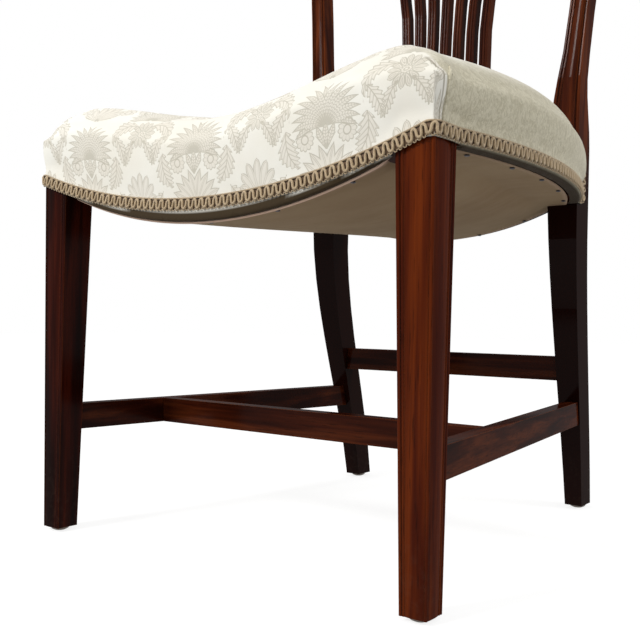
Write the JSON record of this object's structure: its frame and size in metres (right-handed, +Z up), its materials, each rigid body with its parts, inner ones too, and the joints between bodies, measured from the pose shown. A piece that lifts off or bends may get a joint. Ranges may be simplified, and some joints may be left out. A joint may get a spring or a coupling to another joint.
{
  "type": "shield back dining chair",
  "caption": "Wooden side chair with slender reeded splat bars, tapered moulded legs, H stretcher and a stuffed-over dished damask seat.",
  "frame": {"origin": "on the floor, midway across the chair and midway between the front of the braid and the back of the rear feet", "axes": "+X across the seat, to the right as seen from in front; +Y from the front of the seat to its back; +Z up"},
  "size_m": [0.5524, 0.555, 0.96],
  "materials": {
    "mahogany": "french polished",
    "beech": "raw",
    "steel": "blued",
    "nickel": "worn",
    "damask": "woven",
    "gimp": "braided",
    "cambric": "woven",
    "jute": "woven",
    "curled_hair": "matte"
  },
  "bodies": {
    "root": {"front_leg_left": "mahogany", "front_leg_right": "mahogany", "back_post_left": "mahogany", "back_post_right": "mahogany", "crest_rail": "mahogany", "splat_bar_1": "mahogany", "splat_bar_2": "mahogany", "splat_bar_3": "mahogany", "splat_bar_4": "mahogany", "splat_bar_5": "mahogany", "splat_bar_6": "mahogany", "splat_bar_7": "mahogany", "shoe": "mahogany", "side_stretcher_left": "mahogany", "side_stretcher_right": "mahogany", "medial_stretcher": "mahogany", "rear_stretcher": "mahogany", "front_rail": "mahogany", "side_rail_left": "mahogany", "side_rail_right": "mahogany", "rear_rail": "mahogany", "corner_block_front_left": "beech", "corner_block_front_right": "beech", "corner_block_rear_left": "beech", "corner_block_rear_right": "beech", "corner_block_screws": "steel", "bottom_cloth_tacks": "steel", "glide_front_left": "nickel", "glide_front_right": "nickel", "glide_rear_left": "nickel", "glide_rear_right": "nickel", "seat_cover": "damask", "gimp_braid": "gimp", "gimp_braid_rear": "gimp", "bottom_cloth": "cambric", "webbing_lengthwise": "jute", "webbing_crosswise": "jute", "hessian": "jute", "seat_stuffing": "curled_hair"}
  },
  "joints": []
}
